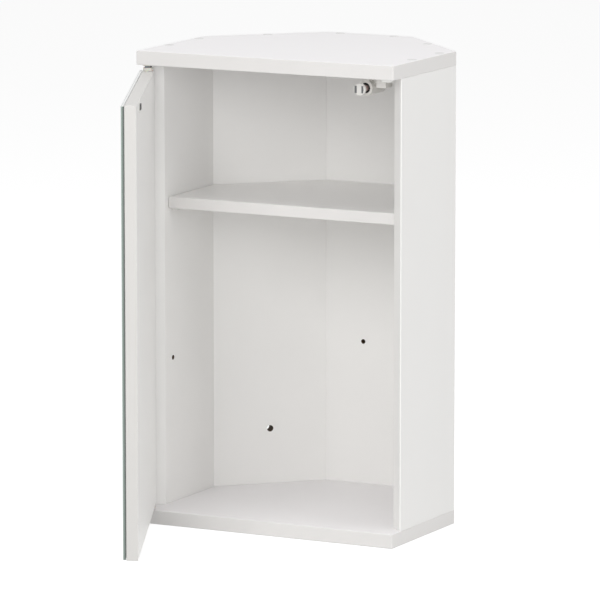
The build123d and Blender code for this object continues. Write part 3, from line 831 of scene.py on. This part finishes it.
barrel = round_bar(
    (latch_axis.x, barrel_front, latch_axis.z), (latch_axis.x, barrel_back, latch_axis.z), LATCH_BARREL_D
)
plate = brick(
    (latch_axis.x - LATCH_BARREL_D / 2, barrel_front, ceiling - LATCH_PLATE),
    (housing_high.x, barrel_back, ceiling),
)
web = brick(
    (latch_axis.x - LATCH_WEB / 2, barrel_front + LATCH_ROUND, latch_axis.z),
    (latch_axis.x + LATCH_WEB / 2, barrel_back - LATCH_ROUND, ceiling - LATCH_PLATE / 2),
)
foot = brick(
    (housing_high.x - LATCH_FOOT_WIDTH, housing_low.y, ceiling - LATCH_FOOT_DROP),
    (housing_high.x, foot_back, ceiling),
)
gusset = brick(
    (latch_axis.x, foot_back - LATCH_GUSSET, latch_axis.z),
    (housing_high.x - LATCH_FOOT_WIDTH / 2, foot_back, ceiling),
)
gusset_middle = (latch_axis.x + housing_high.x) / 2
edit(gusset)
pick_edges(gusset, lambda a, b: min(a.x, b.x) > gusset_middle and max(a.z, b.z) < ceiling - LATCH_PLATE)
bpy.ops.transform.translate(value=(0, 0, ceiling - LATCH_PLATE - latch_axis.z))
bpy.ops.object.mode_set(mode="OBJECT")
latch_housing = fuse([barrel, plate, web, foot, gusset], 0.4 * MM, 4)
mouth = round_bar(
    (latch_axis.x, barrel_front - LATCH_PLATE, latch_axis.z),
    (latch_axis.x, barrel_front + LATCH_MOUTH_DEPTH, latch_axis.z),
    LATCH_MOUTH_D,
)
cut_away(latch_housing, mouth)
throat = round_bar(
    (latch_axis.x, barrel_front, latch_axis.z),
    (latch_axis.x, barrel_back - LATCH_END_WALL, latch_axis.z),
    LATCH_THROAT_D,
)
cut_away(latch_housing, throat)
latch_screw_places = middles("latch_screws", 12 * MM)
for place in latch_screw_places:
    bore = round_bar(
        (place.x, place.y, ceiling - LATCH_FOOT_DROP),
        (place.x, place.y, ceiling + LATCH_PLATE),
        LATCH_SCREW_BORE_D,
    )
    cut_away(latch_housing, bore)
foot_place = min(latch_screw_places, key=lambda place: place.y)
well = round_bar(
    (foot_place.x, foot_place.y, ceiling - LATCH_FOOT_DROP - LATCH_PLATE),
    (foot_place.x, foot_place.y, ceiling - LATCH_PLATE),
    LATCH_WELL_D,
)
cut_away(latch_housing, well)
settle(latch_housing, "latch_housing", latch_acetal, "cabinet", "latch_white", "latch_bracket")
dress(bright_zinc, "latch_screws")

# Latch spring
# Cold-wound spring wire behind the plunger.
SPRING_WIRE_D = 0.7 * MM
SPRING_TURNS = 7
SPRING_STEPS = 24  # round each turn
spring_low, spring_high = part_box("latch_spring")
spring_wire = plated_steel("spring_wire", "A3A5A8", "8A8C90", 0.6 * MM, 0.22, 0.36)
coil_radius = (spring_high.z - spring_low.z - SPRING_WIRE_D) / 2
coil_front = spring_low.y + SPRING_WIRE_D / 2
coil_back = spring_high.y - SPRING_WIRE_D / 2
bpy.ops.object.select_all(action="DESELECT")
bpy.ops.mesh.primitive_circle_add(
    vertices=12, radius=SPRING_WIRE_D / 2, fill_type="NOTHING", location=(0, 0, 0), rotation=(pi / 2, 0, 0)
)
latch_coil = bpy.context.object
latch_coil.location = (coil_radius, 0, 0)
bpy.ops.object.transform_apply(location=True, rotation=True, scale=True)
winding = latch_coil.modifiers.new("winding", "SCREW")
winding.axis = "Z"
winding.angle = 2 * pi * SPRING_TURNS
winding.screw_offset = coil_back - coil_front
winding.steps = SPRING_STEPS * SPRING_TURNS
winding.render_steps = SPRING_STEPS * SPRING_TURNS
winding.use_normal_calculate = True
bpy.ops.object.modifier_apply(modifier=winding.name)
edit(latch_coil)
bpy.ops.mesh.select_all(action="DESELECT")
bpy.context.tool_settings.mesh_select_mode = (False, True, False)
bpy.ops.mesh.select_non_manifold()
bpy.ops.mesh.edge_face_add()
bpy.ops.mesh.select_all(action="SELECT")
bpy.ops.mesh.normals_make_consistent(inside=False)
bpy.ops.object.mode_set(mode="OBJECT")
latch_coil.location = (latch_axis.x, coil_front, latch_axis.z)
latch_coil.rotation_euler = (-pi / 2, 0, 0)
settle(latch_coil, "latch_coil", spring_wire, "cabinet", "spring_steel", "latch_spring")
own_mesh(latch_coil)

# Latch sleeve and plunger
# A black sleeve sits in the barrel's mouth; its black is painted shade for the dark gap round the
# plunger. The plunger is a brown acetal rod that slides in it and carries the cap. Both are turned,
# with a waxy sheen.
# The sleeve's black is painted shade in the gap of the mouth.
sleeve_painted_shade = moulded_plastic("black_sleeve_painted_shade", "1E1C1B", 0.9, 0.4, 0.5 * MM, 0.006 * MM)
dress(sleeve_painted_shade, "latch_sleeve")
plunger_acetal = moulded_plastic("brown_acetal_plunger", "AE958F", 0.93, 0.36, 0.5 * MM, 0.006 * MM)
dress(plunger_acetal, "latch_plunger")

# Latch cap
# A glossy white cap on the plunger with a raised rim round its sunk face. It holds the magnet and
# the two steel pole plates, which stand level with the rim and meet the strike.
CAP_D = 13.0 * MM
CAP_LENGTH = 4.0 * MM
CAP_ROUND = 0.8 * MM
CAP_RIM = 1.3 * MM
CAP_SINK = 0.5 * MM
CAP_SLOT_PLAY = 0.08 * MM
cap_gloss = moulded_plastic("gloss_abs_cap", "E5E3DF", 0.98, 0.2, 0.8 * MM, 0.002 * MM)
bpy.ops.object.select_all(action="DESELECT")
bpy.ops.mesh.primitive_cylinder_add(
    vertices=64, radius=CAP_D / 2, depth=CAP_LENGTH, end_fill_type="NGON", location=(0, 0, 0)
)
latch_cap = bpy.context.object
cap_face = CAP_LENGTH / 2
edit(latch_cap)
pick_edges(latch_cap, lambda a, b: min(a.z, b.z) > 0.9 * cap_face)
bpy.ops.mesh.bevel(offset=CAP_ROUND, segments=6, affect="EDGES")
pick_faces(latch_cap, lambda middle, normal: normal.z > 0.99)
bpy.ops.mesh.inset(thickness=CAP_RIM - CAP_ROUND)
bpy.ops.mesh.extrude_region_move(TRANSFORM_OT_translate={"value": (0, 0, -CAP_SINK)})
bpy.ops.object.mode_set(mode="OBJECT")
latch_cap.location = latch_axis
latch_cap.rotation_euler = (pi / 2, 0, 0)
bpy.ops.object.transform_apply(location=True, rotation=True, scale=True)
play = Vector((CAP_SLOT_PLAY, 0, CAP_SLOT_PLAY))
magnet_low, magnet_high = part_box("latch_magnet")
poles_low, poles_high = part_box("latch_poles")
cut_away(latch_cap, brick(magnet_low - play, magnet_high + play))
pole_width = (poles_high.x - poles_low.x - magnet_high.x + magnet_low.x) / 2
for pole_x in (poles_low.x, poles_high.x - pole_width):
    slot_low = Vector((pole_x, poles_low.y - CAP_ROUND, poles_low.z)) - play
    slot_high = Vector((pole_x + pole_width, poles_high.y, poles_high.z)) + play
    cut_away(latch_cap, brick(slot_low, slot_high))
settle(latch_cap, "latch_cap", cap_gloss, "latch_plunger", "tip_white", "latch_tip")

# Magnet and poles
# A pressed ferrite block between two stamped steel plates. The ferrite is black and matt, the
# plates are bare steel, dull from stamping.
FERRITE_GRAIN = 0.25 * MM
ferrite = new_material("pressed_ferrite")
place = add_node(ferrite, "ShaderNodeTexCoord")
grain = add_node(
    ferrite,
    "ShaderNodeTexNoise",
    {},
    {"Scale": 1 / FERRITE_GRAIN, "Detail": 3.0},
    {"Vector": (place, "Object")},
)
tone = add_node(
    ferrite,
    "ShaderNodeMix",
    {"data_type": "RGBA"},
    {6: linear("2E2E30"), 7: linear("3C3C3E")},
    {0: (grain, 0)},
)
pressed = add_node(ferrite, "ShaderNodeBsdfPrincipled", {}, {"Roughness": 0.7}, {"Base Color": (tone, 2)})
give_surface(ferrite, pressed)
dress(ferrite, "latch_magnet")
pole_steel = plated_steel("stamped_pole_steel", "8A8B8C", "6F7072", 0.8 * MM, 0.4, 0.55)
dress(pole_steel, "latch_poles")

# Stop pad
# A small soft pad stuck under the top board at the door's free corner. Clear moulded vinyl, milky
# white over the lacquer, its upright corners and lower rim rounded.
PAD_CORNER = 2.0 * MM
PAD_RIM = 0.8 * MM
pad_vinyl = moulded_plastic("clear_vinyl_pad", "E4E4E0", 0.97, 0.3, 0.6 * MM, 0.006 * MM)
pad_low, pad_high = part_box("top_stop_pad")
stop_pad = brick(pad_low, pad_high)
pad_middle = (pad_low + pad_high) / 2
edit(stop_pad)
pick_edges(stop_pad, lambda a, b: abs(a.z - b.z) > PAD_RIM)
bpy.ops.mesh.bevel(offset=PAD_CORNER, segments=6, affect="EDGES")
pick_edges(stop_pad, lambda a, b: max(a.z, b.z) < pad_middle.z)
bpy.ops.mesh.bevel(offset=PAD_RIM, segments=4, affect="EDGES")
settle(stop_pad, "stop_pad", pad_vinyl, "cabinet", "pad_clear", "top_stop_pad")

# Floor
# A white sweep just under the cabinet. It reads as white to the camera, in the mirror and in metal,
# and keeps a soft shadow. From below it is clear, and so is the sliver right under the cabinet.
FLOOR_DROP = 0.2 * MM
CONTACT = 1 * MM
bpy.ops.object.select_all(action="DESELECT")
bpy.ops.mesh.primitive_plane_add(size=30, location=(0, 0, -FLOOR_DROP))
bpy.ops.object.transform_apply(location=True, rotation=True, scale=True)
floor = bpy.context.object
floor.name = "floor_sweep"
floor_paint = new_material("white_floor_paint")
floor_paint_path = add_node(floor_paint, "ShaderNodeLightPath")
floor_side = add_node(floor_paint, "ShaderNodeNewGeometry")
paint = add_node(floor_paint, "ShaderNodeBsdfDiffuse", {}, {"Color": linear("D0D0D0")})
dim = add_node(floor_paint, "ShaderNodeBsdfDiffuse", {}, {"Color": linear("DADADA")})
lift = add_node(floor_paint, "ShaderNodeEmission", {}, {"Strength": 0.68})
lifted = add_node(floor_paint, "ShaderNodeAddShader", {}, {}, {0: (paint, 0), 1: (lift, 0)})
clear = add_node(floor_paint, "ShaderNodeBsdfTransparent")
mirrored = add_node(
    floor_paint,
    "ShaderNodeMath",
    {"operation": "MAXIMUM"},
    {},
    {0: (floor_paint_path, "Is Glossy Ray"), 1: (floor_paint_path, "Is Transmission Ray")},
)
looked_at = add_node(
    floor_paint,
    "ShaderNodeMath",
    {"operation": "MAXIMUM"},
    {},
    {0: (floor_paint_path, "Is Camera Ray"), 1: (mirrored, 0)},
)
seen = add_node(
    floor_paint,
    "ShaderNodeMixShader",
    {},
    {},
    {0: (looked_at, 0), 1: (dim, 0), 2: (lifted, 0)},
)
near = add_node(
    floor_paint,
    "ShaderNodeMath",
    {"operation": "LESS_THAN"},
    {1: CONTACT},
    {0: (floor_paint_path, "Ray Length")},
)
passed = add_node(
    floor_paint,
    "ShaderNodeMath",
    {"operation": "MAXIMUM"},
    {},
    {0: (floor_side, "Backfacing"), 1: (near, 0)},
)
swept = add_node(
    floor_paint,
    "ShaderNodeMixShader",
    {},
    {},
    {0: (passed, 0), 1: (seen, 0), 2: (clear, 0)},
)
give_surface(floor_paint, swept)
floor.data.materials.append(floor_paint)

# Studio light
# A white room and four softboxes: one above the camera's left, one beside the camera that reaches
# into the cabinet, one overhead and one at the right.
ROOM_LEVEL = 0.415
world = bpy.data.worlds.new("studio")
bpy.context.scene.world = world
world.use_nodes = True
sky = world.node_tree
sky.nodes.clear()
sky_output = sky.nodes.new("ShaderNodeOutputWorld")
room = sky.nodes.new("ShaderNodeBackground")
room.inputs["Color"].default_value = linear("FFFFFF")
room.inputs["Strength"].default_value = ROOM_LEVEL
backdrop = sky.nodes.new("ShaderNodeBackground")
backdrop.inputs["Color"].default_value = linear("FFFFFF")
backdrop.inputs["Strength"].default_value = 1.0
rays = sky.nodes.new("ShaderNodeLightPath")
either = sky.nodes.new("ShaderNodeMath")
either.operation = "MAXIMUM"
reflected = sky.nodes.new("ShaderNodeMath")
reflected.operation = "MAXIMUM"
sky.links.new(rays.outputs["Is Glossy Ray"], reflected.inputs[0])
sky.links.new(rays.outputs["Is Transmission Ray"], reflected.inputs[1])
sky.links.new(rays.outputs["Is Camera Ray"], either.inputs[0])
sky.links.new(reflected.outputs[0], either.inputs[1])
blend = sky.nodes.new("ShaderNodeMixShader")
sky.links.new(either.outputs[0], blend.inputs[0])
sky.links.new(room.outputs[0], blend.inputs[1])
sky.links.new(backdrop.outputs[0], blend.inputs[2])
sky.links.new(blend.outputs[0], sky_output.inputs["Surface"])


def soft_light(name, place, aim, size, watts):
    """A square softbox at place, turned to face aim, that leaves no glare on flat satin faces."""
    lamp = bpy.data.lights.new(name, "AREA")
    lamp.shape = "SQUARE"
    lamp.size = size
    lamp.energy = watts
    holder = bpy.data.objects.new(name, lamp)
    bpy.context.scene.collection.objects.link(holder)
    holder.location = place
    holder.rotation_euler = (Vector(aim) - Vector(place)).to_track_quat("-Z", "Y").to_euler()
    holder.visible_glossy = False
    return holder


CABINET_MIDDLE = (0, 0, 250 * MM)
soft_light("key_softbox", (0.4, -2.4, 1.45), CABINET_MIDDLE, 1.2, 18.5)
soft_light("camera_softbox", (1.2, -2.6, 0.9), CABINET_MIDDLE, 1.5, 15.5)
soft_light("overhead_softbox", (0.0, -0.4, 2.5), CABINET_MIDDLE, 1.2, 14)
soft_light("right_softbox", (2.5, -0.3, 1.0), CABINET_MIDDLE, 1.2, 15.5)

# Camera
# Fitted to the photograph's outline: 27.3 degrees to the right of the cabinet's front, 9.3 degrees
# above it, 5.67 m away on a long lens.
CAMERA_TURN = radians(27.317)
CAMERA_DROP = radians(9.322)
CAMERA_PLACE = (2611.7 * MM, -5096.7 * MM, 1170.8 * MM)
camera = bpy.data.cameras.new("camera")
camera.lens = 330.54
camera.sensor_width = 36.0
camera.clip_end = 60
stand = bpy.data.objects.new("camera", camera)
bpy.context.scene.collection.objects.link(stand)
stand.location = CAMERA_PLACE
stand.rotation_euler = (pi / 2 - CAMERA_DROP, 0, CAMERA_TURN)
bpy.context.scene.camera = stand
bpy.context.scene.view_settings.view_transform = "Standard"
